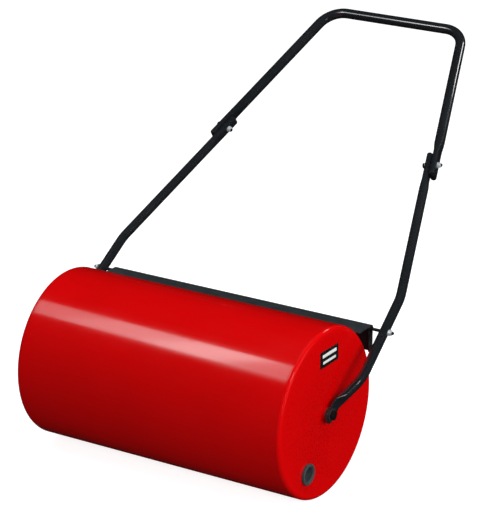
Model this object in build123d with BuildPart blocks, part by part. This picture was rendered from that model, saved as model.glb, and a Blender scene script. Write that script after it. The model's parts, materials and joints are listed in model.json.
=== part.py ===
from build123d import *
import os
from math import cos, radians, sin, tan

# Lawn roller: a hollow, water-filled steel drum turning between two tube arms that carry a
# U-shaped push handle and a scraper.
# Frame: +X along the drum axis towards the filler end, +Y back towards the person pushing,
# +Z up. The origin is on the ground, under the middle of the drum's axis. Units: mm.

os.makedirs("parts", exist_ok=True)

# ---------------------------------------------------------------- driving dimensions
drum_radius = 160.0
drum_half_width = 285.0
sheet = 1.5
rim_radius = 8.0

handle_tilt = 34.7          # slope of the handle frame above the ground, degrees
leg_lean = 15.0             # each leg leans in towards the middle by this much, degrees

arm_tube_radius = 9.0
handle_tube_radius = 10.0
tube_wall = 1.5
flat_thickness = 12.0       # tube ends are pressed to this where they are bolted side by side
flat_length = 56.0
press_length = 20.0         # length over which round becomes flat
cap_height = 4.5
cap_taper = 24.0            # degrees
cap_shank = 10.0
fit_gap = 0.1
bolt_hole_gap = 0.25
washer_gap = 0.2
thread_gap = 0.05

# Distances along the handle frame are measured from the drum axis.
arm_top = 597.0             # upper tip of each arm
arm_top_half = 221.0        # half distance between the arms there
arm_bend = 270.0
arm_elbow = 86.0
arm_elbow_half = 316.5
arm_kink = 24.0             # where the flattened eye ends
spade_length = 18.0         # from the flat eye to the round tube
handle_foot = 547.0         # lower tips of the handle's legs
handle_top = 905.0          # centre line of the cross bar
handle_corner_radius = 50.0
elbow_radius = 90.0
bend_radius = 110.0

boss_body_radius = 18.0
boss_nose_radius = 12.0
boss_depth = 26.0
boss_chamfer = 2.0
boss_bore_depth = 24.0
boss_face = 289.0           # outer face of the hub bosses
washer_thickness = 3.0
end_play = 0.3
eye_thickness = 4.0
eye_radius = 13.0
eye_reach = 5.0             # the eye runs on this far past the axle before its rounded end
bush_flange = 1.5
bush_flange_radius = 12.0
shoulder_radius = 7.0
bush_bore_radius = 7.05
bush_outer_radius = 8.5
axle_thread_radius = 6.0
axle_thread_length = 21.0

scraper_front = 115.5       # scraping edge, measured back from the drum axis
scraper_back = 164.0
scraper_top = 276.0
scraper_drop = 52.0
scraper_sheet = 2.5
scraper_bend_radius = 2.5
scraper_tab = 10.0          # width of the end plates that carry the studs
stud_back = 158.0
stud_tail = 3.0

plug_back = -64.0
plug_up = 66.0
plug_hole_radius = 16.0
collar_depth = 9.0
plug_flange_radius = 20.0
plug_flange = 5.0
plug_shank = 20.0
plug_core_radius = 12.0
plug_core_depth = 18.0
plug_rounding = 2.0

label_back = 8.0
label_up = 267.5
label_width = 62.0
label_height = 31.0
label_thickness = 0.8
label_corner = 2.0

# Fasteners: shank radius, width across flats, head height, nut height, washer radius
m6_radius, m6_flats, m6_head, m6_nut = 3.0, 10.0, 4.0, 5.5
m6_washer_radius, m6_washer = 6.0, 1.2
axle_flats, axle_head, axle_chamfer = 17.0, 5.0, 0.9
joint_bolt_tail = 2.0

# ---------------------------------------------------------------- derived geometry
axis_up = drum_radius
axle_axis = Axis((0, 0, axis_up), (1, 0, 0))
tilt = radians(handle_tilt)
lean = radians(leg_lean)
handle_plane = Plane(origin=(0, 0, axis_up), x_dir=(1, 0, 0), z_dir=(0, -sin(tilt), cos(tilt)))
axle_section = Plane(origin=(0, 0, axis_up), x_dir=(1, 0, 0), z_dir=(0, -1, 0))
frame_normal = handle_plane.z_dir

eye_inner = boss_face + washer_thickness + end_play
eye_outer = eye_inner + eye_thickness
eye_middle = (eye_inner + eye_outer) / 2
head_seat = eye_outer + bush_flange + end_play

arm_bend_half = arm_top_half + (arm_top - arm_bend) * tan(lean)
leg_offset = flat_thickness / cos(lean)
handle_top_half = arm_top_half + leg_offset - (handle_top - arm_top) * tan(lean)
bolt_along = (arm_top + handle_foot) / 2
bolt_half = arm_top_half + (arm_top - bolt_along) * tan(lean)


def in_frame(half, along):
    """A point of the handle frame, from its distance off the middle and along the frame."""
    return handle_plane.from_local_coords(Vector(half, along, 0))


def frame_direction(half, along):
    """A direction in the handle frame."""
    return (in_frame(half, along) - in_frame(0, 0)).normalized()


def oval_width(radius, thickness):
    """Width of the flat oval that keeps the circumference of a round tube."""
    return radians(180) * (radius - thickness / 2) + thickness


def hexagon_radius(across_flats):
    return across_flats / 2 / cos(radians(30))


def section_at(point, direction):
    """A plane across a tube, its x axis square to the handle frame."""
    return Plane(origin=point, x_dir=frame_normal, z_dir=direction)


def press_flat(point, direction, radius, thickness, length, combine=Mode.ADD):
    """Carry a round tube on into a pressed oval: a short transition, then a straight flat."""
    flat_start = point + direction * press_length
    width = oval_width(radius, thickness)
    with BuildSketch(section_at(point, direction)) as round_section:
        Circle(radius)
    with BuildSketch(section_at(flat_start, direction)) as oval_section:
        SlotOverall(width, thickness)
    loft([round_section.sketch.face(), oval_section.sketch.face()], mode=combine)
    extrude(oval_section.sketch, amount=length, mode=combine)


def finish(part, name):
    part.label = name
    export_step(part, "parts/" + name + ".step")


# ---------------------------------------------------------------- drum
with BuildPart() as drum_shell:
    with BuildSketch(Plane.YZ.offset(-drum_half_width + rim_radius)):
        with Locations((0, axis_up)):
            Circle(drum_radius)
            Circle(drum_radius - sheet, mode=Mode.SUBTRACT)
    extrude(amount=2 * (drum_half_width - rim_radius))
finish(drum_shell.part, "drum_shell")

rim_start = drum_half_width - rim_radius
disc_inner_face = drum_half_width - sheet
corner_radial = drum_radius - rim_radius

with BuildPart() as end_disc_plain:
    with BuildSketch(axle_section):
        with BuildLine():
            Line((disc_inner_face, boss_nose_radius), (drum_half_width, boss_nose_radius))
            Line((drum_half_width, boss_nose_radius), (drum_half_width, corner_radial))
            CenterArc((rim_start, corner_radial), rim_radius, 0, 90)
            Line((rim_start, drum_radius), (rim_start, drum_radius - sheet))
            CenterArc((rim_start, corner_radial), rim_radius - sheet, 0, 90)
            Line((disc_inner_face, corner_radial), (disc_inner_face, boss_nose_radius))
        make_face()
    revolve(axis=axle_axis)

with BuildPart() as end_disc_right:
    add(end_disc_plain.part)
    with BuildSketch(Plane.YZ.offset(drum_half_width - collar_depth)):
        with Locations((plug_back, plug_up)):
            Circle(plug_hole_radius + sheet)
    extrude(amount=collar_depth)
    with BuildSketch(Plane.YZ.offset(drum_half_width - collar_depth)):
        with Locations((plug_back, plug_up)):
            Circle(plug_hole_radius)
    extrude(amount=collar_depth, mode=Mode.SUBTRACT)
finish(end_disc_right.part, "end_disc_right")

with BuildPart() as end_disc_left:
    add(mirror(end_disc_plain.part, about=Plane.YZ, mode=Mode.PRIVATE))
finish(end_disc_left.part, "end_disc_left")

with BuildPart() as hub_boss_right:
    with BuildSketch(Plane.YZ.offset(disc_inner_face - boss_depth)):
        with Locations((0, axis_up)):
            Circle(boss_body_radius)
    extrude(amount=boss_depth)
    with BuildSketch(Plane.YZ.offset(disc_inner_face)):
        with Locations((0, axis_up)):
            Circle(boss_nose_radius - fit_gap)
    extrude(amount=boss_face - disc_inner_face)
    chamfer(hub_boss_right.faces().sort_by(Axis.X)[0].edges(), length=boss_chamfer)
    with BuildSketch(Plane.YZ.offset(boss_face)):
        with Locations((0, axis_up)):
            Circle(axle_thread_radius)
    extrude(amount=-boss_bore_depth, mode=Mode.SUBTRACT)
finish(hub_boss_right.part, "hub_boss_right")

with BuildPart() as hub_boss_left:
    add(mirror(hub_boss_right.part, about=Plane.YZ, mode=Mode.PRIVATE))
finish(hub_boss_left.part, "hub_boss_left")

# The axle bolts are shouldered: the shoulder is the journal, the thread holds in the boss.
with BuildPart() as axle_bolt_right:
    with BuildSketch(Plane.YZ.offset(boss_face)):
        with Locations((0, axis_up)):
            Circle(shoulder_radius)
    extrude(amount=head_seat - boss_face)
    with BuildSketch(Plane.YZ.offset(head_seat)):
        with Locations((0, axis_up)):
            RegularPolygon(hexagon_radius(axle_flats), 6, rotation=90)
    extrude(amount=axle_head)
    chamfer(axle_bolt_right.faces().sort_by(Axis.X)[-1].edges(), length=axle_chamfer)
    with BuildSketch(Plane.YZ.offset(boss_face - axle_thread_length)):
        with Locations((0, axis_up)):
            Circle(axle_thread_radius - fit_gap)
    extrude(amount=axle_thread_length)
finish(axle_bolt_right.part, "axle_bolt_right")

with BuildPart() as axle_bolt_left:
    add(mirror(axle_bolt_right.part, about=Plane.YZ, mode=Mode.PRIVATE))
finish(axle_bolt_left.part, "axle_bolt_left")

with BuildPart() as thrust_washers:
    with BuildSketch(Plane.YZ.offset(boss_face), Plane.YZ.offset(-boss_face - washer_thickness)):
        with Locations((0, axis_up)):
            Circle(eye_radius)
            Circle(shoulder_radius + end_play, mode=Mode.SUBTRACT)
    extrude(amount=washer_thickness)
finish(thrust_washers.part, "thrust_washers")

with BuildPart() as label_plate:
    with BuildSketch(Plane.YZ.offset(drum_half_width)):
        with Locations((label_back, label_up)):
            RectangleRounded(label_width, label_height, label_corner)
    extrude(amount=label_thickness)
finish(label_plate.part, "label_plate")

# Rubber bung: a hollow core, open to the outside, lets it squeeze into the collar.
with BuildPart() as filler_bung:
    with BuildSketch(Plane.YZ.offset(drum_half_width)):
        with Locations((plug_back, plug_up)):
            Circle(plug_flange_radius)
    extrude(amount=plug_flange)
    fillet(filler_bung.faces().sort_by(Axis.X)[-1].edges(), radius=plug_rounding)
    with BuildSketch(Plane.YZ.offset(drum_half_width)):
        with Locations((plug_back, plug_up)):
            Circle(plug_hole_radius - fit_gap)
    extrude(amount=-plug_shank)
    chamfer(filler_bung.faces().sort_by(Axis.X)[0].edges(), length=plug_rounding)
    with BuildSketch(Plane.YZ.offset(drum_half_width + plug_flange)):
        with Locations((plug_back, plug_up)):
            Circle(plug_core_radius)
    extrude(amount=-plug_core_depth, mode=Mode.SUBTRACT)
finish(filler_bung.part, "filler_bung")

# ---------------------------------------------------------------- arms
leg_up = frame_direction(-sin(lean), cos(lean))
arm_tube_end = arm_top - cap_height * cos(lean)
arm_round_end = arm_tube_end - (flat_length + press_length) * cos(lean)
arm_round_half = arm_top_half + (arm_top - arm_round_end) * tan(lean)
kink_point = in_frame(eye_middle, arm_kink)
elbow_point = in_frame(arm_elbow_half, arm_elbow)
elbow_direction = (elbow_point - kink_point).normalized()
stud_along = stud_back / cos(tilt)
stud_up = axis_up + stud_back * tan(tilt)

with BuildPart() as arm_right:
    with BuildLine(handle_plane) as arm_path:
        elbow_run = handle_plane.to_local_coords(kink_point + elbow_direction * spade_length)
        FilletPolyline(
            (elbow_run.X, elbow_run.Y),
            (arm_elbow_half, arm_elbow),
            (arm_bend_half, arm_bend),
            (arm_round_half, arm_round_end),
            radius=[elbow_radius, bend_radius],
        )
    arm_start = section_at(arm_path.line @ 0, arm_path.line % 0)
    with BuildSketch(arm_start):
        Circle(arm_tube_radius)
    sweep(path=arm_path.line)
    press_flat(arm_path.line @ 1, leg_up, arm_tube_radius, flat_thickness, flat_length)
    # flattened eye and the spade that joins it to the round tube
    spade_normal = (elbow_direction + frame_direction(0, 1)).normalized()
    with BuildSketch(arm_start):
        Circle(arm_tube_radius)
    with BuildSketch(section_at(kink_point, spade_normal)):
        SlotOverall(2 * eye_radius, eye_thickness)
    loft()
    eye_plane = Plane(origin=(eye_inner, 0, axis_up), x_dir=frame_direction(0, 1), z_dir=(1, 0, 0))
    with BuildSketch(eye_plane):
        with Locations((-eye_reach, 0)):
            Circle(eye_radius)
        with Locations(((arm_kink - eye_reach) / 2, 0)):
            Rectangle(arm_kink + eye_reach, 2 * eye_radius)
    extrude(amount=eye_thickness)
    # the tube is hollow from the elbow up
    with BuildSketch(arm_start):
        Circle(arm_tube_radius - tube_wall)
    sweep(path=arm_path.line, mode=Mode.SUBTRACT)
    press_flat(
        arm_path.line @ 1,
        leg_up,
        arm_tube_radius - tube_wall,
        flat_thickness - 2 * tube_wall,
        flat_length,
        Mode.SUBTRACT,
    )
    with BuildSketch(eye_plane):
        Circle(bush_outer_radius)
    extrude(amount=eye_thickness, mode=Mode.SUBTRACT)
    with BuildSketch(Plane.YZ.offset(drum_half_width)):
        with Locations((stud_back, stud_up)):
            Circle(m6_radius + bolt_hole_gap)
    extrude(amount=4 * arm_tube_radius + eye_thickness, mode=Mode.SUBTRACT)
    bolt_direction = frame_direction(cos(lean), sin(lean))
    with BuildSketch(Plane(in_frame(bolt_half, bolt_along), frame_normal, bolt_direction)):
        Circle(m6_radius + bolt_hole_gap)
    extrude(amount=flat_thickness, both=True, mode=Mode.SUBTRACT)
finish(arm_right.part, "arm_right")

with BuildPart() as arm_left:
    add(mirror(arm_right.part, about=Plane.YZ, mode=Mode.PRIVATE))
finish(arm_left.part, "arm_left")

# Nylon bushes: a flanged bush pressed into each eye from the outside.
with BuildPart() as bush_right:
    with BuildSketch(Plane.YZ.offset(eye_inner)):
        with Locations((0, axis_up)):
            Circle(bush_outer_radius)
    extrude(amount=eye_thickness)
    with BuildSketch(Plane.YZ.offset(eye_outer)):
        with Locations((0, axis_up)):
            Circle(bush_flange_radius)
    extrude(amount=bush_flange)
    with BuildSketch(Plane.YZ.offset(eye_inner)):
        with Locations((0, axis_up)):
            Circle(bush_bore_radius)
    extrude(amount=eye_thickness + bush_flange, mode=Mode.SUBTRACT)
finish(bush_right.part, "bush_right")

with BuildPart() as bush_left:
    add(mirror(bush_right.part, about=Plane.YZ, mode=Mode.PRIVATE))
finish(bush_left.part, "bush_left")

# ---------------------------------------------------------------- push handle
leg_down = {1: frame_direction(sin(lean), -cos(lean)), -1: frame_direction(-sin(lean), -cos(lean))}
handle_tube_end = handle_foot + cap_height * cos(lean)
handle_round_end = handle_tube_end + (flat_length + press_length) * cos(lean)
handle_round_half = handle_top_half + (handle_top - handle_round_end) * tan(lean)

with BuildPart() as handle_bar:
    with BuildLine(handle_plane) as handle_path:
        FilletPolyline(
            (handle_round_half, handle_round_end),
            (handle_top_half, handle_top),
            (-handle_top_half, handle_top),
            (-handle_round_half, handle_round_end),
            radius=handle_corner_radius,
        )
    for radius, thickness, combine in (
        (handle_tube_radius, flat_thickness, Mode.ADD),
        (handle_tube_radius - tube_wall, flat_thickness - 2 * tube_wall, Mode.SUBTRACT),
    ):
        with BuildSketch(section_at(handle_path.line @ 0, handle_path.line % 0)):
            Circle(radius)
        sweep(path=handle_path.line, mode=combine)
        for side in (1, -1):
            leg_end = in_frame(side * handle_round_half, handle_round_end)
            press_flat(leg_end, leg_down[side], radius, thickness, flat_length, combine)
    for side in (1, -1):
        side_across = frame_direction(side * cos(lean), sin(lean))
        centre = in_frame(side * bolt_half, bolt_along)
        with BuildSketch(Plane(origin=centre, x_dir=frame_normal, z_dir=side_across)):
            Circle(m6_radius + bolt_hole_gap)
        extrude(amount=2 * flat_thickness, mode=Mode.SUBTRACT)
finish(handle_bar.part, "handle_bar")


def end_cap(point, direction, radius):
    """Domed plastic cap: a shank in the oval tube and a rounded head over its end."""
    inner_thickness = flat_thickness - 2 * tube_wall
    inner_width = oval_width(radius - tube_wall, inner_thickness)
    with BuildSketch(section_at(point, direction)) as head:
        SlotOverall(oval_width(radius, flat_thickness), flat_thickness)
    extrude(head.sketch, amount=cap_height, taper=cap_taper)
    with BuildSketch(section_at(point, direction)) as shank:
        SlotOverall(inner_width - 2 * fit_gap, inner_thickness - 2 * fit_gap)
    extrude(shank.sketch, amount=-cap_shank)


with BuildPart() as arm_end_caps:
    for side in (1, -1):
        tip_half = arm_top_half + (arm_top - arm_tube_end) * tan(lean)
        end_cap(in_frame(side * tip_half, arm_tube_end),
                frame_direction(-side * sin(lean), cos(lean)), arm_tube_radius)
finish(arm_end_caps.part, "arm_end_caps")

with BuildPart() as handle_end_caps:
    for side in (1, -1):
        tip_half = handle_top_half + (handle_top - handle_tube_end) * tan(lean)
        end_cap(in_frame(side * tip_half, handle_tube_end), leg_down[side], handle_tube_radius)
finish(handle_end_caps.part, "handle_end_caps")

# ---------------------------------------------------------------- joint fasteners
# Both bolts go in towards +X: the head is inside on the right and outside on the left.
stack_low = -flat_thickness / 2
stack_high = 1.5 * flat_thickness
bolt_stack = {}
for side in (1, -1):
    side_across = frame_direction(side * cos(lean), sin(lean))
    centre = in_frame(side * bolt_half, bolt_along)
    faces = [centre + side_across * stack_low, centre + side_across * stack_high]
    bolt_stack[side] = (faces[::side], side_across * side)

washer_planes = []
bolt_planes = []
nut_planes = []
for (head_face, nut_face), direction in bolt_stack.values():
    washer_planes.append(Plane(origin=head_face, x_dir=frame_normal, z_dir=-direction))
    washer_planes.append(Plane(origin=nut_face, x_dir=frame_normal, z_dir=direction))
    bolt_planes.append(
        Plane(origin=head_face - direction * m6_washer, x_dir=frame_normal, z_dir=direction)
    )
    nut_planes.append(
        Plane(origin=nut_face + direction * m6_washer, x_dir=frame_normal, z_dir=direction)
    )

with BuildPart() as joint_washers:
    with BuildSketch(*washer_planes):
        Circle(m6_washer_radius)
        Circle(m6_radius + washer_gap, mode=Mode.SUBTRACT)
    extrude(amount=m6_washer)
finish(joint_washers.part, "joint_washers")

joint_bolt_length = 2 * flat_thickness + 2 * m6_washer + m6_nut + joint_bolt_tail
with BuildPart() as joint_bolts:
    with BuildSketch(*bolt_planes):
        RegularPolygon(hexagon_radius(m6_flats), 6)
    extrude(amount=-m6_head)
    with BuildSketch(*bolt_planes):
        Circle(m6_radius)
    extrude(amount=joint_bolt_length)
finish(joint_bolts.part, "joint_bolts")

with BuildPart() as joint_nuts:
    with BuildSketch(*nut_planes):
        RegularPolygon(hexagon_radius(m6_flats), 6)
        Circle(m6_radius + thread_gap, mode=Mode.SUBTRACT)
    extrude(amount=m6_nut)
finish(joint_nuts.part, "joint_nuts")

# ---------------------------------------------------------------- scraper
with BuildPart() as scraper_blade:
    with BuildSketch(Plane.YZ.offset(-drum_half_width)):
        with BuildLine():
            Polyline(
                (scraper_front, scraper_top),
                (scraper_back, scraper_top),
                (scraper_back, scraper_top - scraper_drop),
                (scraper_back - scraper_sheet, scraper_top - scraper_drop),
                (scraper_back - scraper_sheet, scraper_top - scraper_sheet),
                (scraper_front, scraper_top - scraper_sheet),
                close=True,
            )
        make_face()
    extrude(amount=2 * drum_half_width)
    bend_edge = scraper_blade.edges().filter_by(Axis.X).sort_by(Axis.Y).group_by(Axis.Z)[-1][-1]
    fillet(bend_edge, radius=scraper_bend_radius)
    tab_middle_back = scraper_back - scraper_sheet - scraper_tab / 2
    tab_height = scraper_drop - scraper_sheet
    tab_middle_up = scraper_top - scraper_sheet - tab_height / 2
    with BuildSketch(
        Plane.YZ.offset(drum_half_width - scraper_sheet), Plane.YZ.offset(-drum_half_width)
    ):
        with Locations((tab_middle_back, tab_middle_up)):
            Rectangle(scraper_tab, tab_height)
        with Locations((stud_back, stud_up)):
            Circle(m6_radius, mode=Mode.SUBTRACT)
    extrude(amount=scraper_sheet)
finish(scraper_blade.part, "scraper_blade")

arm_slope = (arm_elbow_half - arm_bend_half) / (arm_bend - arm_elbow)
arm_half_at_stud = arm_elbow_half - arm_slope * (stud_along - arm_elbow)
nut_seat = arm_half_at_stud + arm_tube_radius + arm_slope * m6_washer_radius + fit_gap
stud_end = nut_seat + m6_washer + m6_nut + stud_tail
with BuildPart() as scraper_studs:
    stud_start = drum_half_width - scraper_sheet
    with BuildSketch(Plane.YZ.offset(stud_start), Plane.YZ.offset(-stud_end)):
        with Locations((stud_back, stud_up)):
            Circle(m6_radius)
    extrude(amount=stud_end - stud_start)
finish(scraper_studs.part, "scraper_studs")

with BuildPart() as scraper_washers:
    with BuildSketch(Plane.YZ.offset(nut_seat), Plane.YZ.offset(-nut_seat - m6_washer)):
        with Locations((stud_back, stud_up)):
            Circle(m6_washer_radius)
            Circle(m6_radius + washer_gap, mode=Mode.SUBTRACT)
    extrude(amount=m6_washer)
finish(scraper_washers.part, "scraper_washers")

with BuildPart() as scraper_nuts:
    nut_start = nut_seat + m6_washer
    with BuildSketch(Plane.YZ.offset(nut_start), Plane.YZ.offset(-nut_start - m6_nut)):
        with Locations((stud_back, stud_up)):
            RegularPolygon(hexagon_radius(m6_flats), 6)
            Circle(m6_radius + thread_gap, mode=Mode.SUBTRACT)
    extrude(amount=m6_nut)
finish(scraper_nuts.part, "scraper_nuts")
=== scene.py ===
import json
from math import atan2, ceil, cos, hypot, pi, radians, sin, sqrt, tan

import bmesh
import bpy
from mathutils import Matrix, Vector


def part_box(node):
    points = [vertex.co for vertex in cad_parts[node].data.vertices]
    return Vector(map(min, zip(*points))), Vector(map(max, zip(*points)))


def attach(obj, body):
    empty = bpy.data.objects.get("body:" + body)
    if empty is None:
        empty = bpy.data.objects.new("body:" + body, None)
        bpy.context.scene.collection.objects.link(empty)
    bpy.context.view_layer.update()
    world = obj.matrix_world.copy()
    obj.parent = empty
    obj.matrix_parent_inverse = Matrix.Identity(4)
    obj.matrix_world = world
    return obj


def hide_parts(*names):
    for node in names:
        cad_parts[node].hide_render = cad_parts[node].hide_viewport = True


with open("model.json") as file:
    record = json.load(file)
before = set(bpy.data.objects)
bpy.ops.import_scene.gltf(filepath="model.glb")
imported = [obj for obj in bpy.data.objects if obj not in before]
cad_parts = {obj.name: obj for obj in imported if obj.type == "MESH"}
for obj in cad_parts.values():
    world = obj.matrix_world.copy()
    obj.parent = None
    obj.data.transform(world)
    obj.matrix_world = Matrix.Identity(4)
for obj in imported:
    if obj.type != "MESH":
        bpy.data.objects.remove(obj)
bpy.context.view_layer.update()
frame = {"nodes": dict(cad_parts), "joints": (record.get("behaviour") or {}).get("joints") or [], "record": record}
nodes = frame["nodes"]
MM = 0.001

# ------------------------------------------------------------------ sizes read from the frame
mounts = {m["name"]: m for m in frame["record"]["mounts"]}
joints = {j["name"]: j for j in frame["joints"]}
AXLE = Vector(joints["drum_roll"]["pos_m"])
GRIP = Vector(mounts["grip_bar"]["pos_m"])
TILT = atan2(GRIP.z - AXLE.z, GRIP.y)
HANDLE_TOP = hypot(GRIP.z - AXLE.z, GRIP.y)
ACROSS = Vector((1, 0, 0))
FRAME_UP = Vector((0, cos(TILT), sin(TILT)))
FRAME_NORMAL = Vector((0, -sin(TILT), cos(TILT)))

shell_low, shell_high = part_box("drum_shell")
disc_low, disc_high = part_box("end_disc_right")
DRUM_RADIUS = (shell_high.y - shell_low.y) / 2
RIM_START = shell_high.x
DRUM_HALF = disc_high.x
RIM_RADIUS = DRUM_HALF - RIM_START
COLLAR_DEPTH = DRUM_HALF - disc_low.x

bung_low, bung_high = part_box("filler_bung")
BUNG_CENTRE = Vector((DRUM_HALF, (bung_low.y + bung_high.y) / 2, (bung_low.z + bung_high.z) / 2))
BUNG_RADIUS = (bung_high.y - bung_low.y) / 2

label_low, label_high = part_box("label_plate")
scraper_low, scraper_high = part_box("scraper_blade")
stud_low, stud_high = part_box("scraper_studs")
bolt_low, bolt_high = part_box("axle_bolt_right")
EYE_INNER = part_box("bush_right")[0].x

# ------------------------------------------------------------------ sizes set here
SHEET = 1.5 * MM
SEAM_DEPTH = 0.12 * MM
DRUM_FACETS = 288
BOSS_NOSE = 12 * MM
BUNG_HOLE = 16 * MM
LEAN = radians(15)
ARM_RADIUS = 9 * MM
HANDLE_RADIUS = 10 * MM
CORNER_RADIUS = 50 * MM
PRESSED = 12 * MM            # thickness of the pressed tube ends
PRESSED_LENGTH = 56 * MM
PRESS_RUN = 24 * MM          # length over which a tube goes from round to pressed
CAP_HEIGHT = 4.5 * MM
EYE_THICKNESS = 4 * MM
EYE_RADIUS = 13 * MM
EYE_REACH = 5 * MM           # the eye's round end is centred this far past the axle
EYE_TIP = EYE_RADIUS * 0.985 # the tube's skin starts this far out, just short of the round end's tip
EYE_MIDDLE = EYE_INNER + EYE_THICKNESS / 2
ARM_TOP = 597 * MM
ARM_TOP_HALF = 221 * MM
ARM_BEND = 270 * MM
ARM_ELBOW = 86 * MM
ARM_ELBOW_HALF = 316.5 * MM
ARM_KINK = 24 * MM
KINK_RADIUS = 8 * MM
ELBOW_RADIUS = 90 * MM
BEND_RADIUS = 110 * MM
HANDLE_FOOT = 547 * MM
SCRAPER_SHEET = 2.5 * MM
SCRAPER_TAB = 10 * MM
EAR_CORNER = 3 * MM
EAR_TUCK = 0.5 * MM          # the ears run this far into the sheet, and stand this far in from its ends
# the label's two bars: how far up the middle is, half the width and half the height
LABEL_BARS = ((6 * MM, 24 * MM, 3.2 * MM), (-6.5 * MM, 22 * MM, 2.6 * MM))
M6 = {"radius": 3 * MM, "flats": 10 * MM, "head": 4 * MM, "nut": 5.5 * MM, "pitch": 1 * MM,
      "washer_bore": 3.2 * MM, "washer_radius": 6 * MM, "washer": 1.2 * MM, "tail": 2 * MM}
AXLE_BOLT = {"flats": 17 * MM, "head": 5 * MM, "shoulder": 7 * MM, "thread": 5.9 * MM,
             "thread_length": 21 * MM, "pitch": 1.75 * MM}

ARM_BEND_HALF = ARM_TOP_HALF + (ARM_TOP - ARM_BEND) * tan(LEAN)
ARM_END = ARM_TOP - CAP_HEIGHT * cos(LEAN)
ARM_END_HALF = ARM_TOP_HALF + (ARM_TOP - ARM_END) * tan(LEAN)
HANDLE_TOP_HALF = ARM_TOP_HALF + PRESSED / cos(LEAN) - (HANDLE_TOP - ARM_TOP) * tan(LEAN)
HANDLE_END = HANDLE_FOOT + CAP_HEIGHT * cos(LEAN)
HANDLE_END_HALF = HANDLE_TOP_HALF + (HANDLE_TOP - HANDLE_END) * tan(LEAN)


def in_frame(half, along):
    """A point of the handle frame, from its distance off the middle and along the frame."""
    return AXLE + ACROSS * half + FRAME_UP * along


def frame_direction(half, along):
    """A direction in the plane of the handle frame."""
    return (ACROSS * half + FRAME_UP * along).normalized()


def sided(name, side):
    """The name of the right one of a pair (side 1) or of the left one (side -1)."""
    return name + ("_right" if side > 0 else "_left")


# ------------------------------------------------------------------ materials
def start_material(name):
    """A new material, with its node tree, its shader and object coordinates."""
    material = bpy.data.materials.new(name)
    material.use_nodes = True
    tree = material.node_tree
    shader = tree.nodes["Principled BSDF"]
    place = tree.nodes.new("ShaderNodeTexCoord").outputs["Object"]
    return material, tree, shader, place


def noise(tree, place, scale, detail=3.0, roughness=0.5, stretch=None):
    """A noise pattern in object space; scale is in features per metre."""
    if stretch:
        mapping = tree.nodes.new("ShaderNodeMapping")
        mapping.inputs["Scale"].default_value = stretch
        tree.links.new(place, mapping.inputs["Vector"])
        place = mapping.outputs["Vector"]
    node = tree.nodes.new("ShaderNodeTexNoise")
    node.inputs["Scale"].default_value = scale
    node.inputs["Detail"].default_value = detail
    node.inputs["Roughness"].default_value = roughness
    tree.links.new(place, node.inputs["Vector"])
    return node.outputs["Fac"]


def ramp(tree, value, low, high, from_low=0.35, from_high=0.65):
    """Map a pattern, from from_low to from_high, to a range of numbers or colours."""
    node = tree.nodes.new("ShaderNodeValToRGB")
    low = low if isinstance(low, tuple) else (low, low, low)
    high = high if isinstance(high, tuple) else (high, high, high)
    node.color_ramp.elements[0].position = from_low
    node.color_ramp.elements[1].position = from_high
    node.color_ramp.elements[0].color = (*low, 1)
    node.color_ramp.elements[1].color = (*high, 1)
    tree.links.new(value, node.inputs["Fac"])
    return node.outputs["Color"]


def mix(tree, factor, a, b):
    """Blend two colours by a pattern. The second may be a plain colour."""
    node = tree.nodes.new("ShaderNodeMix")
    node.data_type = "RGBA"
    tree.links.new(factor, node.inputs["Factor"])
    tree.links.new(a, node.inputs["A"])
    if isinstance(b, tuple):
        node.inputs["B"].default_value = (*b, 1)
    else:
        tree.links.new(b, node.inputs["B"])
    return node.outputs["Result"]


def bump(tree, shader, heights):
    """Stack bump layers of (pattern, depth in metres, strength) on the shader's normal."""
    normal = None
    for pattern, depth, strength in heights:
        node = tree.nodes.new("ShaderNodeBump")
        node.inputs["Distance"].default_value = depth
        node.inputs["Strength"].default_value = strength
        tree.links.new(pattern, node.inputs["Height"])
        if normal:
            tree.links.new(normal, node.inputs["Normal"])
        normal = node.outputs["Normal"]
    tree.links.new(normal, shader.inputs["Normal"])


def edge_mask(tree, place):
    """White on worn convex edges, broken up by a fine noise."""
    geometry = tree.nodes.new("ShaderNodeNewGeometry")
    edges = ramp(tree, geometry.outputs["Pointiness"], 0.0, 1.0, from_low=0.53, from_high=0.58)
    grain = noise(tree, place, scale=260.0, detail=4.0)
    broken = ramp(tree, grain, 0.0, 1.0, from_low=0.45, from_high=0.62)
    node = tree.nodes.new("ShaderNodeMath")
    node.operation = "MULTIPLY"
    tree.links.new(edges, node.inputs[0])
    tree.links.new(broken, node.inputs[1])
    return node.outputs["Value"]


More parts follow.
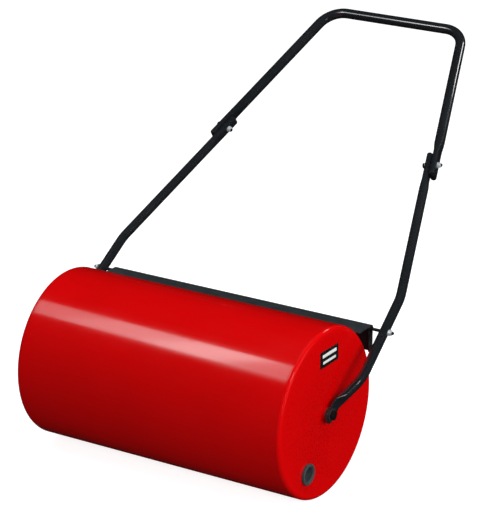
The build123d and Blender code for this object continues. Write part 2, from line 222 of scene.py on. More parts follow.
def powder_coat(name, colour, shade, worn, roughness, peel, peel_scale, coat=(0.35, 0.1, 1.6), dust_and_sheen=None):
    """Sprayed and baked paint: colour drift, orange peel, fine scuffs and thin spots at edges.
    coat is its gloss layer's weight, roughness and IOR. Faces that look up can take a lighter colour: painted
    light on the top, with the other faces darker as painted shade."""
    material, tree, shader, place = start_material(name)
    drift = ramp(tree, noise(tree, place, scale=7.0, detail=4.0), colour, shade)
    chips = edge_mask(tree, place)
    if dust_and_sheen:
        # painted light and shade by facing: the lighter colour goes on faces that look up
        geometry = tree.nodes.new("ShaderNodeNewGeometry")
        split = tree.nodes.new("ShaderNodeSeparateXYZ")
        tree.links.new(geometry.outputs["Normal"], split.inputs["Vector"])
        facing_up = ramp(tree, split.outputs["Z"], 0.0, 1.0, from_low=0.5, from_high=0.95)
        drift = mix(tree, facing_up, drift, ramp(tree, noise(tree, place, scale=55.0, detail=5.0), *dust_and_sheen))
    tree.links.new(mix(tree, chips, drift, worn), shader.inputs["Base Color"])
    scuffs = noise(tree, place, scale=34.0, detail=6.0, roughness=0.7, stretch=(0.35, 1.0, 1.6))
    tree.links.new(ramp(tree, scuffs, *roughness, from_low=0.4, from_high=0.75), shader.inputs["Roughness"])
    for socket, value in zip(("Coat Weight", "Coat Roughness", "Coat IOR"), coat):
        shader.inputs[socket].default_value = value
    bump(tree, shader, [
        (noise(tree, place, scale=5.0, detail=1.0), 1.2 * MM, peel * 0.5),
        (noise(tree, place, peel_scale, detail=2.0), 0.08 * MM, peel),
    ])
    return material


def plated_steel(name, bright, dull, roughness, metallic):
    """Plated or blackened steel: turning marks and a cloudy finish, part metal and part oxide."""
    material, tree, shader, place = start_material(name)
    cloud = noise(tree, place, scale=140.0, detail=5.0, roughness=0.6)
    tree.links.new(ramp(tree, cloud, bright, dull), shader.inputs["Base Color"])
    shader.inputs["Metallic"].default_value = metallic
    haze = noise(tree, place, scale=310.0, detail=4.0)
    tree.links.new(ramp(tree, haze, *roughness), shader.inputs["Roughness"])
    marks = noise(tree, place, scale=520.0, detail=3.0, roughness=0.6, stretch=(1.0, 1.0, 3.0))
    bump(tree, shader, [(marks, 0.05 * MM, 0.35)])
    return material


def moulded(name, colour, shade, roughness, grain, depth):
    """Moulded plastic or rubber with a fine skin texture and a little dust."""
    material, tree, shader, place = start_material(name)
    drift = ramp(tree, noise(tree, place, scale=45.0, detail=4.0), colour, shade)
    dust_colour = ramp(tree, noise(tree, place, scale=300.0), (0.10, 0.095, 0.085), (0.16, 0.15, 0.13))
    specks = noise(tree, place, scale=120.0, detail=6.0, roughness=0.7)
    dust_and_sheen = ramp(tree, specks, 0.0, 0.35, from_low=0.58, from_high=0.8)
    tree.links.new(mix(tree, dust_and_sheen, drift, dust_colour), shader.inputs["Base Color"])
    sheen = noise(tree, place, scale=200.0, detail=4.0)
    tree.links.new(ramp(tree, sheen, *roughness), shader.inputs["Roughness"])
    bump(tree, shader, [(noise(tree, place, grain, detail=3.0, roughness=0.6), depth, 0.5)])
    return material


red_paint = powder_coat("red_paint", (0.60, 0.0, 0.0004), (0.63, 0.0, 0.0008), (0.40, 0.0003, 0.0008),
                        (0.14, 0.19), 0.05, 420.0, coat=(0.35, 0.08, 1.6))
black_paint = powder_coat("black_paint", (0.0085, 0.0105, 0.0125), (0.013, 0.015, 0.018),
                          (0.035, 0.036, 0.038), (0.26, 0.34), 0.03, 700.0, coat=(1.0, 0.09, 2.0))
# the scraper: near-black paint with its upward faces painted a lighter bluish grey, painted light on the top and
# painted shade on the faces below
top_lit_dark_paint = powder_coat("top_lit_dark_paint", (0.007, 0.008, 0.010), (0.010, 0.011, 0.013), (0.05, 0.05, 0.05),
                         (0.36, 0.48), 0.2, 700.0, dust_and_sheen=((0.022, 0.028, 0.031), (0.031, 0.037, 0.040)))
zinc_plate = plated_steel("zinc_plate", (0.72, 0.78, 0.80), (0.55, 0.60, 0.62), (0.30, 0.45), 0.45)
black_steel = plated_steel("black_steel", (0.004, 0.004, 0.005), (0.008, 0.008, 0.009), (0.34, 0.46), 0.2)
nylon = moulded("nylon", (0.022, 0.022, 0.022), (0.032, 0.032, 0.031), (0.42, 0.55), 900.0, 0.03 * MM)
cap_plastic = moulded("cap_plastic", (0.006, 0.006, 0.007), (0.011, 0.011, 0.012), (0.35, 0.5),
                      1100.0, 0.04 * MM)
rubber = moulded("rubber", (0.036, 0.042, 0.045), (0.050, 0.056, 0.058), (0.55, 0.72), 800.0, 0.06 * MM)
label_black = moulded("label_black", (0.006, 0.006, 0.006), (0.010, 0.010, 0.010), (0.2, 0.3),
                      500.0, 0.02 * MM)
label_white = moulded("label_white", (0.62, 0.63, 0.62), (0.75, 0.76, 0.75), (0.3, 0.4),
                      700.0, 0.02 * MM)


# ------------------------------------------------------------------ mesh building
def finish_piece(name, bm, material, body, replaced=(), sharp=32):
    """Turn a bmesh into a smooth-shaded piece that rides on a body."""
    bmesh.ops.remove_doubles(bm, verts=bm.verts, dist=1e-7)
    bmesh.ops.recalc_face_normals(bm, faces=bm.faces)
    mesh = bpy.data.meshes.new(name)
    bm.to_mesh(mesh)
    bm.free()
    mesh.polygons.foreach_set("use_smooth", [True] * len(mesh.polygons))
    mesh.set_sharp_from_angle(angle=radians(sharp))
    mesh.materials.append(material)
    piece = bpy.data.objects.new(name, mesh)
    bpy.context.scene.collection.objects.link(piece)
    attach(piece, body)
    if replaced:
        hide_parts(*replaced)
    return piece


def bevel(piece, width):
    """Break every edge sharper than 35 degrees."""
    modifier = piece.modifiers.new("edges", "BEVEL")
    modifier.width = width
    modifier.segments = 2
    modifier.limit_method = "ANGLE"
    modifier.angle_limit = radians(35)
    modifier.harden_normals = True


def skin(bm, loops, closed_ends=True, closed_ring=False):
    """Join a row of vertex loops with quads. A loop of one vertex is a pole."""
    pairs = list(zip(loops, loops[1:]))
    if closed_ring:
        pairs.append((loops[-1], loops[0]))
    for a, b in pairs:
        count = max(len(a), len(b))
        for k in range(count):
            n = (k + 1) % count
            if len(a) == 1:
                bm.faces.new((a[0], b[n], b[k]))
            elif len(b) == 1:
                bm.faces.new((a[k], a[n], b[0]))
            else:
                bm.faces.new((a[k], a[n], b[n], b[k]))
    if closed_ends and not closed_ring:
        for loop in (loops[0], loops[-1]):
            if len(loop) > 2:
                bm.faces.new(loop)


def at(value, angle):
    """A number, or a function's value at an angle."""
    return value(angle) if callable(value) else value


def turn(bm, origin, axis, profile, segments=64, closed=False, angles=None):
    """Turn a profile of (along, radius) about an axis. Either may be a function of the angle."""
    axis = axis.normalized()
    side = axis.orthogonal().normalized()
    up = axis.cross(side)
    angles = angles or [2 * pi * k / segments for k in range(segments)]
    loops = []
    for along, radius in profile:
        if not callable(radius) and radius < 1e-9:
            loops.append([bm.verts.new(origin + axis * at(along, 0))])
            continue
        loops.append([
            bm.verts.new(origin + axis * at(along, t) + (side * cos(t) + up * sin(t)) * at(radius, t))
            for t in angles
        ])
    skin(bm, loops, closed_ends=False, closed_ring=closed)
    return loops


def arc(centre, radius, start, end, steps):
    """Points (x, y) on an arc, angles in degrees."""
    return [
        (centre[0] + radius * cos(radians(start + (end - start) * k / steps)),
         centre[1] + radius * sin(radians(start + (end - start) * k / steps)))
        for k in range(steps + 1)
    ]


def hexagon(bm, origin, axis, flats, height, low=True, bore=0.0):
    """Hexagon with the curved chamfers of a turned bolt head or nut, at its top and, if low, its foot."""
    rim = flats * 0.475                  # radius of the flat end inside the chamfer
    slope = tan(radians(30))

    def reach(angle):
        return flats / 2 / cos(angle % (pi / 3) - pi / 6)

    def low_edge(angle):
        return (reach(angle) - rim) * slope if low else 0.0

    def high_edge(angle):
        return height - (reach(angle) - rim) * slope

    outside = [(low_edge, reach), (high_edge, reach), (height, rim)]
    if low:
        outside.insert(0, (0.0, rim))
    profile = [(0.0, bore)] + outside + [(height, bore)]
    turn(bm, origin, axis, profile, segments=72, closed=bool(bore))


def thread(bm, origin, axis, radius, length, pitch):
    """Screw thread: a triangular wave that climbs one pitch each turn, with a pointed end."""
    depth = 0.45 * pitch
    rings_a_turn = 5
    rings = ceil(length / pitch * rings_a_turn)
    point_length = 1.5 * pitch
    point_start, narrowing = 0.35, 0.2

    def groove(along):
        def at_angle(angle):
            wave = abs((along / pitch - angle / (2 * pi)) % 1.0 - 0.5) * 2
            taper = min(1.0, (length - along) / point_length + point_start)
            return (radius - depth * wave) * (1 - narrowing + narrowing * taper)
        return at_angle

    profile = [(length * k / rings, groove(length * k / rings)) for k in range(rings + 1)]
    turn(bm, origin, axis, [(0.0, 0.0)] + profile + [(length, 0.0)], segments=36)


def washer(bm, origin, axis):
    """M6 washer with its outer edge broken."""
    inner, outer, height = M6["washer_bore"], M6["washer_radius"], M6["washer"]
    edge = 0.25 * height
    turn(bm, origin, axis, [
        (0.0, inner), (0.0, outer - edge), (edge, outer), (height - edge, outer),
        (height, outer - edge), (height, inner),
    ], segments=56, closed=True)


def stadium(half_thickness, half_flat, count=56):
    """Evenly spaced points round a pressed tube: two flats joined by two half circles."""
    bend = pi * half_thickness
    half_loop = bend + 2 * half_flat
    points = []
    for k in range(count):
        d = (k + 0.5) / count * 2 * half_loop
        side = 1
        if d > half_loop:
            d -= half_loop
            side = -1
        if d < half_flat:
            wide, thin = d, half_thickness
        elif d < half_flat + bend:
            t = (d - half_flat) / half_thickness
            wide, thin = half_flat + half_thickness * sin(t), half_thickness * cos(t)
        else:
            wide, thin = half_loop - d, -half_thickness
        points.append((side * wide, side * thin))
    return points


def smooth_step(value, start, end):
    """0 before start, 1 after end, and an even curve between them."""
    t = min(1.0, max(0.0, (value - start) / (end - start)))
    return t * t * (3 - 2 * t)


def rounded_path(corners, radii, step=3 * MM):
    """Stations along straight runs joined by arcs: (place, direction, distance) in the frame plane."""
    corners = [Vector(c) for c in corners]
    places = [corners[0]]
    for before, here, after, radius in zip(corners, corners[1:], corners[2:], radii):
        came = (here - before).normalized()
        goes = (after - here).normalized()
        turn_angle = came.angle(goes)
        reach = radius * tan(turn_angle / 2)
        middle = here + (goes - came).normalized() * hypot(radius, reach)
        steps = max(6, ceil(turn_angle / radians(3)))
        start = here - came * reach - middle
        sign = 1 if came.cross(goes) > 0 else -1
        for k in range(steps + 1):
            angle = sign * turn_angle * k / steps
            places.append(middle + Vector((
                start.x * cos(angle) - start.y * sin(angle),
                start.x * sin(angle) + start.y * cos(angle),
            )))
    places.append(corners[-1])
    stations = []
    distance = 0.0
    for a, b in zip(places, places[1:]):
        run = (b - a).length
        if run < 1e-7:
            continue
        parts = max(1, ceil(run / step))
        for k in range(parts):
            stations.append((a + (b - a) * k / parts, (b - a).normalized(), distance + run * k / parts))
        distance += run
    stations.append((places[-1], stations[-1][1], distance))
    return stations


def tube(bm, stations, half_thickness_at, radius, half_width_at=None):
    """Skin a tube that may be pressed flat: its circumference stays the same unless a width is set."""
    loops = []
    for place, direction, distance in stations:
        thickness = half_thickness_at(distance)
        flat = pi * (radius - thickness) / 2
        if half_width_at:
            width = min(flat + thickness, half_width_at(distance))
            thickness = min(thickness, width)
            flat = width - thickness
        centre = in_frame(place.x, place.y)
        across = frame_direction(direction.y, -direction.x)
        loops.append([
            bm.verts.new(centre + FRAME_NORMAL * wide + across * thin)
            for wide, thin in stadium(thickness, flat)
        ])
    skin(bm, loops)


# ------------------------------------------------------------------ drum
def drum_shell():
    """Rolled sheet with a longitudinal weld and a shallow groove at each end seam."""
    seam = radians(222)
    bead_half = radians(1.1)
    bead = 0.3 * MM
    angles = [2 * pi * k / DRUM_FACETS for k in range(DRUM_FACETS)]
    angles += [seam + bead_half * (k + 0.5) / 4 for k in range(-5, 5)]
    angles.sort()

    def welded(angle):
        rise = max(0.0, 1 - ((angle - seam) / bead_half) ** 2)
        return DRUM_RADIUS + bead * sqrt(rise) if rise else DRUM_RADIUS

    groove = DRUM_RADIUS - SEAM_DEPTH
    inner = DRUM_RADIUS - SHEET
    edge = RIM_START - 0.4 * MM
    hold = edge - 1.5 * MM               # a loop here keeps the shading straight up to the seam
    spans = 12
    outer = [(-RIM_START, groove), (-edge, welded)]
    outer += [(hold * k / spans, welded) for k in range(-spans, spans + 1)]
    outer += [(edge, welded), (RIM_START, groove)]
    bm = bmesh.new()
    turn(bm, AXLE, ACROSS, outer + [(RIM_START, inner), (-RIM_START, inner)], angles=angles, closed=True)
    finish_piece("drum_shell_skin", bm, red_paint, "drum", ["drum_shell"], 40)


def ring_of(bm, x, centre, radius, count):
    """A ring of points round a line along X."""
    return [
        bm.verts.new(Vector((x, centre.y + radius * cos(2 * pi * k / count),
                             centre.z + radius * sin(2 * pi * k / count))))
        for k in range(count)
    ]


def ring_edges(bm, ring):
    """The edges of a ring of points, made where there are none."""
    return [bm.edges.get((a, b)) or bm.edges.new((a, b)) for a, b in zip(ring, ring[1:] + ring[:1])]


def end_disc(side):
    """Pressed end: a rounded rim, a flat face, the boss hole and, on the right, the filler collar."""
    bm = bmesh.new()
    corner = DRUM_RADIUS - RIM_RADIUS
    flat_edge = corner - 6 * MM
    outer = [(RIM_START, DRUM_RADIUS - SEAM_DEPTH)]
    outer += arc((RIM_START, corner), RIM_RADIUS, 84, 0, 16)
    outer.append((DRUM_HALF, flat_edge))
    inner = [(DRUM_HALF - SHEET, flat_edge)]
    inner += arc((RIM_START, corner), RIM_RADIUS - SHEET, 0, 90, 10)
    loops = turn(bm, AXLE, ACROSS, outer, DRUM_FACETS)
    inner_loops = turn(bm, AXLE, ACROSS, inner, DRUM_FACETS)
    skin(bm, [inner_loops[-1], loops[0]], closed_ends=False)
    holes = [(AXLE, BOSS_NOSE, 72, SHEET)]       # centre, radius, points round it, depth
    if side > 0:
        holes.append((BUNG_CENTRE, BUNG_HOLE, 96, COLLAR_DEPTH))
    front_edges = ring_edges(bm, loops[-1])
    back_edges = ring_edges(bm, inner_loops[0])
    for centre, radius, count, depth in holes:
        front = ring_of(bm, DRUM_HALF, centre, radius, count)
        back = ring_of(bm, DRUM_HALF - depth, centre, radius, count)
        front_edges += ring_edges(bm, front)
        if depth > SHEET:
            lip = ring_of(bm, DRUM_HALF - depth, centre, radius + SHEET, count)
            root = ring_of(bm, DRUM_HALF - SHEET, centre, radius + SHEET, count)
            skin(bm, [front, back, lip, root], closed_ends=False)
            back_edges += ring_edges(bm, root)
        else:
            skin(bm, [front, back], closed_ends=False)
            back_edges += ring_edges(bm, back)
    bmesh.ops.triangle_fill(bm, use_beauty=True, edges=front_edges, normal=ACROSS)
    bmesh.ops.triangle_fill(bm, use_beauty=True, edges=back_edges, normal=-ACROSS)
    if side < 0:
        bmesh.ops.scale(bm, vec=(-1, 1, 1), verts=bm.verts)
    name = sided("end_disc", side)
    finish_piece(name + "_skin", bm, red_paint, "drum", [name], 40)


def axle_bolt(side):
    """Shouldered bolt: hexagon head with a washer face, journal, relief groove and thread."""
    outward = ACROSS * side
    flats, head, shoulder = AXLE_BOLT["flats"], AXLE_BOLT["head"], AXLE_BOLT["shoulder"]
    head_seat = bolt_high.x - head
    shoulder_start = bolt_low.x + AXLE_BOLT["thread_length"]
    face, face_radius = 0.6 * MM, flats * 0.46
    edge = 0.6 * MM
    journal = head_seat - shoulder_start
    seat, start = AXLE + outward * head_seat, AXLE + outward * shoulder_start
    bm = bmesh.new()
    hexagon(bm, seat + outward * face, outward, flats, head - face, low=False)
    turn(bm, seat, outward, [(0.0, 0.0), (0.0, face_radius), (face, face_radius), (face, 0.0)])
    turn(bm, start, outward, [
        (0.0, 0.0), (0.0, shoulder - edge), (edge, shoulder), (journal, shoulder), (journal, 0.0),
    ])
    thread(bm, start, -outward, AXLE_BOLT["thread"], AXLE_BOLT["thread_length"], AXLE_BOLT["pitch"])
    name = sided("axle_bolt", side)
    finish_piece(name + "_detail", bm, black_steel, "drum", [name])


def filler_bung():
    """Hollow rubber bung: rounded flange with a moulded ring, ribbed shank and open core."""
    flange = bung_high.x - DRUM_HALF
    shank = DRUM_HALF - bung_low.x
    core, core_depth, core_edge = 12 * MM, 13 * MM, 1.5 * MM
    grip = BUNG_HOLE - 0.1 * MM
    nose = 2 * MM
    rib_depth = 0.7 * MM
    rim, mouth = 1.8 * MM, 1.2 * MM              # roundings of the flange's edge and of the core's mouth
    ring, ring_depth = BUNG_RADIUS - 3.4 * MM, 0.4 * MM
    outside = [(-shank, 0.0), (-shank, grip - nose), (-shank + nose, grip)]
    for k in range(3):
        start = -shank + (5 + 4 * k) * MM
        outside += [(start, grip), (start + 0.5 * MM, grip - rib_depth),
                    (start + 1.5 * MM, grip - rib_depth), (start + 2 * MM, grip)]
    outside += [(0.0, grip), (0.0, BUNG_RADIUS - 0.4 * MM), (0.5 * MM, BUNG_RADIUS)]
    outside += arc((flange - rim, BUNG_RADIUS - rim), rim, 90, 0, 6)
    outside += [(flange, ring), (flange - ring_depth, ring - 0.3 * MM),
                (flange - ring_depth, ring - 0.8 * MM), (flange, ring - 1.1 * MM)]
    outside += arc((flange - mouth, core + mouth), mouth, 180, 90, 5)
    outside += [(core_edge - core_depth, core), (-core_depth, core - core_edge), (-core_depth, 0.0)]
    bm = bmesh.new()
    turn(bm, BUNG_CENTRE, ACROSS, outside, segments=96)
    finish_piece("filler_bung_rubber", bm, rubber, "bung", ["filler_bung"])


def rounded_rectangle(half_width, half_height, radius, steps=6):
    """Points round a rectangle, with an arc at each corner."""
    points = []
    for sign_y, sign_z, start in ((1, 1, 0), (-1, 1, 90), (-1, -1, 180), (1, -1, 270)):
        centre = (sign_y * (half_width - radius), sign_z * (half_height - radius))
        points += arc(centre, radius, start, start + 90, steps)
    return points


def raised_panel(bm, x, centre, half_width, half_height, radius, height):
    """A thin plate on the drum's right end, with its edge rounded over."""
    edge = ((0.0, 0.0), (0.6, 0.0), (0.9, 0.15), (1.0, 0.5))     # rise and inset, in heights
    loops = []
    for rise, inset in edge:
        inset *= height
        points = rounded_rectangle(half_width - inset, half_height - inset, radius - inset)
        loops.append([
            bm.verts.new(Vector((x + height * rise, centre.y + y, centre.z + z))) for y, z in points
        ])
    skin(bm, loops)


def label():
    """Plain black plate with two light bars where a real one is printed."""
    centre = (label_low + label_high) / 2
    half_width = (label_high.y - label_low.y) / 2
    half_height = (label_high.z - label_low.z) / 2
    thickness = label_high.x - label_low.x
    plate_thickness, bar_thickness = thickness * 0.9, thickness * 0.08
    plate_corner, bar_corner = 2 * MM, 1.2 * MM
    bm = bmesh.new()
    raised_panel(bm, label_low.x, centre, half_width, half_height, plate_corner, plate_thickness)
    finish_piece("label_plate_face", bm, label_black, "drum", ["label_plate"])
    bm = bmesh.new()
    face = label_low.x + plate_thickness
    for up, half_wide, half_high in LABEL_BARS:
        place = centre + Vector((0, 0, up))
        raised_panel(bm, face, place, half_wide, half_high, bar_corner, bar_thickness)
    finish_piece("label_bars", bm, label_white, "drum")


# ------------------------------------------------------------------ arms and handle
def arm(side):
    """One tube from the flattened eye at the axle to the pressed end under the handle's leg."""
    stations = rounded_path(
        [(EYE_MIDDLE, -EYE_REACH - EYE_TIP), (EYE_MIDDLE, ARM_KINK), (ARM_ELBOW_HALF, ARM_ELBOW),
         (ARM_BEND_HALF, ARM_BEND), (ARM_END_HALF, ARM_END)],
        [KINK_RADIUS, ELBOW_RADIUS, BEND_RADIUS],
        step=2.5 * MM,
    )
    length = stations[-1][2]
    eye_flat = EYE_REACH + EYE_RADIUS + ARM_KINK + 2 * MM
    press_end = length - PRESSED_LENGTH
    press_start = press_end - PRESS_RUN

    def half_thickness(distance):
        opened = smooth_step(distance, eye_flat, eye_flat + PRESS_RUN)
        closed = smooth_step(distance, press_start, press_end)
        low = EYE_THICKNESS / 2 + (ARM_RADIUS - EYE_THICKNESS / 2) * opened
        return low - (ARM_RADIUS - PRESSED / 2) * closed

    def half_width(distance):
        from_centre = max(0.0, EYE_TIP - distance)
        return sqrt(EYE_RADIUS ** 2 - from_centre ** 2)

    bm = bmesh.new()
    tube(bm, stations, half_thickness, ARM_RADIUS, half_width)
    if side < 0:
        bmesh.ops.scale(bm, vec=(-1, 1, 1), verts=bm.verts)
    name = sided("arm", side)
    finish_piece(name + "_tube", bm, black_paint, "frame", [name], 50)


def handle():
    """The U-shaped push handle: a bare bent tube with both leg ends pressed."""
    stations = rounded_path(
        [(HANDLE_END_HALF, HANDLE_END), (HANDLE_TOP_HALF, HANDLE_TOP),
         (-HANDLE_TOP_HALF, HANDLE_TOP), (-HANDLE_END_HALF, HANDLE_END)],
        [CORNER_RADIUS, CORNER_RADIUS],
    )
    length = stations[-1][2]

    def half_thickness(distance):
        from_end = min(distance, length - distance)
        opened = smooth_step(from_end, PRESSED_LENGTH, PRESSED_LENGTH + PRESS_RUN)
        return PRESSED / 2 + (HANDLE_RADIUS - PRESSED / 2) * opened

    bm = bmesh.new()
    tube(bm, stations, half_thickness, HANDLE_RADIUS)
    finish_piece("handle_bar_tube", bm, black_paint, "frame", ["handle_bar"], 50)


def end_caps(name, radius, half, along, upward):
    """Domed plastic caps over both pressed tube ends. upward is 1 where they look up the frame, else -1."""
    rounding = 4 * MM
    steps = 8
    flat = pi * (radius - PRESSED / 2) / 2
    bm = bmesh.new()
    for side in (1, -1):
        outward = frame_direction(-side * sin(LEAN) * upward, cos(LEAN) * upward)
        across = outward.cross(FRAME_NORMAL)
        centre = in_frame(side * half, along)
        loops = []
        for k in range(steps + 1):
            angle = radians(90 * k / steps)
            inset = rounding * (1 - cos(angle))
            rise = CAP_HEIGHT - rounding + rounding * sin(angle)
            base = 0.0 if k == 0 else rise
            loops.append([
                bm.verts.new(centre + outward * base + FRAME_NORMAL * wide + across * thin)
                for wide, thin in stadium(PRESSED / 2 - inset, flat)
            ])
        skin(bm, loops)
    finish_piece(name + "_domes", bm, cap_plastic, "frame", [name], 60)


# ------------------------------------------------------------------ fasteners
def joint_places():
    """(head face, nut face, direction) of the two joint bolts, which both go in towards +X."""
    along = (ARM_TOP + HANDLE_FOOT) / 2
    half = ARM_TOP_HALF + (ARM_TOP - along) * tan(LEAN)
    places = []
    for side in (1, -1):
        outward = frame_direction(side * cos(LEAN), sin(LEAN))
        centre = in_frame(side * half, along)
        faces = [centre - outward * PRESSED / 2, centre + outward * PRESSED * 1.5]
        places.append((*faces[::side], outward * side))
    return places


def nut_with_insert(bm, origin, axis):
    """Lock nut: a hexagon with a rounded collar that holds a nylon ring."""
    height, bore = M6["nut"], M6["radius"]
    body = height * 0.72
    collar, collar_foot, rounding = M6["flats"] * 0.44, body * 0.9, 1.2 * MM
    hexagon(bm, origin, axis, M6["flats"], body, bore=bore)
    dome = arc((height - rounding, collar - rounding), rounding, 90, 0, 5)
    profile = [(collar_foot, bore), (collar_foot, collar)] + dome + [(height, bore)]
    turn(bm, origin, axis, profile, segments=48, closed=True)


def joint_fasteners():
    """A bolt, two washers and a lock nut through each pair of pressed tube ends."""
    bolts, nuts, washers = bmesh.new(), bmesh.new(), bmesh.new()
    for head_face, nut_face, direction in joint_places():
        under_head = head_face - direction * M6["washer"]
        hexagon(bolts, under_head, -direction, M6["flats"], M6["head"], low=False)
        length = (nut_face - under_head).length + M6["washer"] + M6["nut"] + M6["tail"]
        thread(bolts, under_head, direction, M6["radius"], length, M6["pitch"])
        washer(washers, head_face, -direction)
        washer(washers, nut_face, direction)
        nut_with_insert(nuts, nut_face + direction * M6["washer"], direction)
    finish_piece("joint_bolts_detail", bolts, black_steel, "frame", ["joint_bolts"])
    finish_piece("joint_washers_detail", washers, zinc_plate, "frame", ["joint_washers"])
    finish_piece("joint_nuts_detail", nuts, zinc_plate, "frame", ["joint_nuts"])


def scraper_fasteners():
    """Studs welded to the scraper's ears, with a washer and a lock nut outside each arm."""
    studs, nuts, washers = bmesh.new(), bmesh.new(), bmesh.new()
    washer_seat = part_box("scraper_washers")[1].x - M6["washer"]
    start = DRUM_HALF - SCRAPER_SHEET
    ear_face = DRUM_HALF - EAR_TUCK
    threaded = washer_seat - 4 * MM
    shank, root = threaded - start, M6["radius"] * 0.84
    relief = 0.5 * MM
    weld = 3 * MM
    line = (stud_low + stud_high) / 2
    line.x = 0
    for side in (1, -1):
        outward = ACROSS * side
        turn(studs, line + outward * start, outward, [
            (0.0, 0.0), (0.0, M6["radius"]), (shank - relief, M6["radius"]), (shank, root), (shank, 0.0),
        ], segments=40)
        thread(studs, line + outward * threaded, outward, M6["radius"], stud_high.x - threaded, M6["pitch"])
        bead = [(0.0, 0.0)] + arc((0.0, M6["radius"]), weld, 90, 0, 6) + [(weld, 0.0)]
        turn(studs, line + outward * ear_face, outward, bead, segments=40)
        washer(washers, line + outward * washer_seat, outward)
        nut_with_insert(nuts, line + outward * (washer_seat + M6["washer"]), outward)
    finish_piece("scraper_studs_detail", studs, black_steel, "frame", ["scraper_studs"])
    finish_piece("scraper_washers_detail", washers, zinc_plate, "frame", ["scraper_washers"])
    finish_piece("scraper_nuts_detail", nuts, zinc_plate, "frame", ["scraper_nuts"])


# ------------------------------------------------------------------ scraper
def extrude_along_x(bm, outline, low, high, parts=1):
    """A solid with an outline of (y, z), from one x to another."""
    loops = []
    for k in range(parts + 1):
        x = low + (high - low) * k / parts
        loops.append([bm.verts.new(Vector((x, y, z))) for y, z in outline])
    skin(bm, loops)


def scraper():
    """Angle section with a rolled bend, an ear at each end and its edges broken."""
    back, top = scraper_high.y, scraper_high.z
    front, foot = scraper_low.y, scraper_low.z
    outer_bend, inner_bend = 3.2 * MM, 1.0 * MM
    inside_back, inside_top = back - SCRAPER_SHEET, top - SCRAPER_SHEET
    outline = [(front, inside_top), (front, top)]
    outline += arc((back - outer_bend, top - outer_bend), outer_bend, 90, 0, 8)
    outline += [(back, foot), (inside_back, foot)]
    outline += arc((inside_back - inner_bend, inside_top - inner_bend), inner_bend, 0, 90, 4)
    bm = bmesh.new()
    extrude_along_x(bm, outline, -DRUM_HALF, DRUM_HALF, 8)
    ear_front, ear_back = inside_back - SCRAPER_TAB, inside_back + EAR_TUCK
    ear_foot, ear_top = foot + EAR_TUCK, inside_top + EAR_TUCK
    ear = [(ear_front, ear_top), (ear_back, ear_top), (ear_back, ear_foot)]
    ear += arc((ear_front + EAR_CORNER, ear_foot + EAR_CORNER), EAR_CORNER, 270, 180, 5)
    for low in (-DRUM_HALF + EAR_TUCK, DRUM_HALF - SCRAPER_SHEET - EAR_TUCK):
        extrude_along_x(bm, ear, low, low + SCRAPER_SHEET)
    piece = finish_piece("scraper_blade_angle", bm, top_lit_dark_paint, "frame", ["scraper_blade"])
    bevel(piece, 0.35 * MM)


drum_shell()
for end in (1, -1):
    end_disc(end)
    axle_bolt(end)
    arm(end)
filler_bung()
label()
handle()
end_caps("arm_end_caps", ARM_RADIUS, ARM_END_HALF, ARM_END, upward=1)
end_caps("handle_end_caps", HANDLE_RADIUS, HANDLE_END_HALF, HANDLE_END, upward=-1)
joint_fasteners()
scraper_fasteners()
scraper()

carried_over = {
    "hub_boss_left": red_paint, "hub_boss_right": red_paint, "thrust_washers": nylon,
    "bush_left": nylon, "bush_right": nylon,
}
for node, material in carried_over.items():
    nodes[node].data.materials.clear()
    nodes[node].data.materials.append(material)


# ------------------------------------------------------------------ studio
FLOOR_HALF = 30
FLOOR_GLOW = 0.86
WORLD_BELOW = 0.26           # strength of the soft light from straight below
WORLD_ABOVE = 0.36           # and from straight above
WORLD_MIRRORED = 0.004       # strength with which glossy faces mirror it
WORLD_BEHIND = 1.0           # strength with which the camera sees it, as the backdrop
# A long strip, a little askew, draws the bright band along the drum, and is brightest in its middle:
# where each stretch starts and ends along X, and its radiance
BAND = ((-1.46, -1.16, 1.9), (-1.16, -0.90, 3.3), (-0.90, -0.67, 5.8), (-0.67, -0.36, 1.8))
BAND_AXIS = Vector((1, -0.301, -0.095))
BAND_CENTRE = Vector((0, -0.903, 1.603))
BAND_WIDTH = 0.54
BAND_AIM = (-0.103, 0.283)   # where on the drum it shows


def studio_floor():
    """A wide pale sheet. It takes shadows but isn't mirrored in the paint."""
    bm = bmesh.new()
    bmesh.ops.create_grid(bm, x_segments=2, y_segments=2, size=FLOOR_HALF)
    mesh = bpy.data.meshes.new("studio_floor")
    bm.to_mesh(mesh)
    bm.free()
    material, tree, shader, place = start_material("studio_white")
    tree.links.new(ramp(tree, noise(tree, place, scale=0.8), 0.48, 0.50), shader.inputs["Base Color"])
    shader.inputs["Roughness"].default_value = 0.9
    shader.inputs["Specular IOR Level"].default_value = 0.0
    shader.inputs["Emission Color"].default_value = (1, 1, 1, 1)
    shader.inputs["Emission Strength"].default_value = FLOOR_GLOW
    mesh.materials.append(material)
    floor = bpy.data.objects.new("studio_floor", mesh)
    bpy.context.scene.collection.objects.link(floor)
    floor.visible_glossy = False
    floor.visible_diffuse = False


def soft_light(name, place, aim, long_axis, size, radiance, glossy=True, diffuse=True):
    """Rectangular light. Its size is (along the long axis, across it) and its radiance is even."""
    backward = (Vector(place) - Vector(aim)).normalized()
    across = backward.cross(Vector(long_axis)).normalized()
    along = across.cross(backward)
    data = bpy.data.lights.new(name, "AREA")
    data.shape = "RECTANGLE"
    data.size, data.size_y = size
    data.energy = radiance * pi * size[0] * size[1]
    light = bpy.data.objects.new(name, data)
    light.location = place
    light.rotation_mode = "QUATERNION"
    light.rotation_quaternion = Matrix((along, across, backward)).transposed().to_quaternion()
    light.visible_camera = False
    light.visible_glossy = glossy
    light.visible_diffuse = diffuse
    bpy.context.scene.collection.objects.link(light)


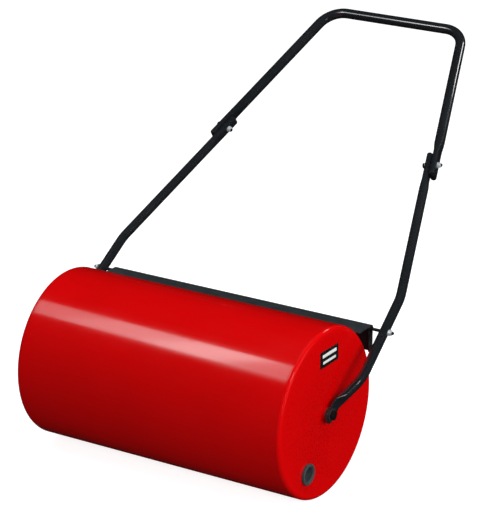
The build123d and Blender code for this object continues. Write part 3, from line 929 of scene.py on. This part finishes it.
def studio_lights():
    """The band's strips, three broad lights that are never mirrored, and two small ones for the gloss."""
    for start, end, radiance in BAND:
        middle = (start + end) / 2
        size = ((end - start) * BAND_AXIS.length, BAND_WIDTH)
        soft_light(f"strip{middle:.2f}", BAND_CENTRE + BAND_AXIS * middle, (middle, *BAND_AIM), BAND_AXIS,
                   size, radiance)
    soft_light("strip_edge", (-0.62, -0.96, 1.51), (-0.62, *BAND_AIM), BAND_AXIS, (0.60, 0.16), 0.9)
    soft_light("top", (0.3, 0.5, 3.2), AXLE, ACROSS, (3.0, 2.4), 2.05, glossy=False)
    soft_light("key", (2.05, -1.92, 1.28), (0.3, 0, 0.2), (0, 0, 1), (0.8, 0.8), 14.5, glossy=False)
    soft_light("right", (2.9, 0.3, 1.0), (0.3, 0.05, 0.2), (0, 1, 0), (2.8, 2.0), 3.2, glossy=False)
    # these only show in the gloss: on the handle and rim, and on the right arm's elbow
    soft_light("spot_back", (0.66, 1.25, 1.12), (0.22, 0.35, 0.45), (0, 0, 1), (0.2, 0.2), 6.5,
               diffuse=False)
    soft_light("spot_right", (1.46, -0.37, 1.05), (0.305, 0.04, 0.19), (0, 0, 1), (0.18, 0.18), 6.5,
               diffuse=False)


def studio_world():
    """Soft light, brighter from above, and seen only faintly in reflections."""
    world = bpy.data.worlds.new("studio")
    world.use_nodes = True
    bpy.context.scene.world = world
    tree = world.node_tree
    background = tree.nodes["Background"]
    background.inputs["Color"].default_value = (1, 1, 1, 1)
    place = tree.nodes.new("ShaderNodeTexCoord")
    split = tree.nodes.new("ShaderNodeSeparateXYZ")
    tree.links.new(place.outputs["Generated"], split.inputs["Vector"])
    ambient = tree.nodes.new("ShaderNodeMapRange")
    ambient.inputs["From Min"].default_value = -1.0
    ambient.inputs["To Min"].default_value = WORLD_BELOW
    ambient.inputs["To Max"].default_value = WORLD_ABOVE
    tree.links.new(split.outputs["Z"], ambient.inputs["Value"])
    path = tree.nodes.new("ShaderNodeLightPath")
    strength = tree.nodes.new("ShaderNodeMix")
    strength.data_type = "FLOAT"
    strength.inputs["B"].default_value = WORLD_MIRRORED
    tree.links.new(path.outputs["Is Glossy Ray"], strength.inputs["Factor"])
    tree.links.new(ambient.outputs["Result"], strength.inputs["A"])
    seen = tree.nodes.new("ShaderNodeMix")
    seen.data_type = "FLOAT"
    seen.inputs["B"].default_value = WORLD_BEHIND
    tree.links.new(path.outputs["Is Camera Ray"], seen.inputs["Factor"])
    tree.links.new(strength.outputs["Result"], seen.inputs["A"])
    tree.links.new(seen.outputs["Result"], background.inputs["Strength"])


def place_camera():
    """A long lens from the front right, a little above. Its aim is offset from the axle in its own view."""
    azimuth, elevation, distance = radians(32.5), radians(19.97), 4.621
    aim_right, aim_up = 0.0850, 0.2254
    back = Vector((sin(azimuth) * cos(elevation), -cos(azimuth) * cos(elevation), sin(elevation)))
    right = Vector((cos(azimuth), sin(azimuth), 0))
    up = back.cross(right)
    aim = AXLE + right * aim_right + up * aim_up
    data = bpy.data.cameras.new("camera")
    data.lens = 175.76
    data.sensor_width = 36
    data.clip_start = 0.1
    data.clip_end = 100
    camera = bpy.data.objects.new("camera", data)
    camera.location = aim + back * distance
    camera.rotation_mode = "QUATERNION"
    camera.rotation_quaternion = (-back).to_track_quat("-Z", "Y")
    bpy.context.scene.collection.objects.link(camera)
    bpy.context.scene.camera = camera


studio_floor()
studio_world()
studio_lights()
place_camera()
bpy.context.scene.view_settings.view_transform = "Standard"
bpy.context.scene.view_settings.look = "None"
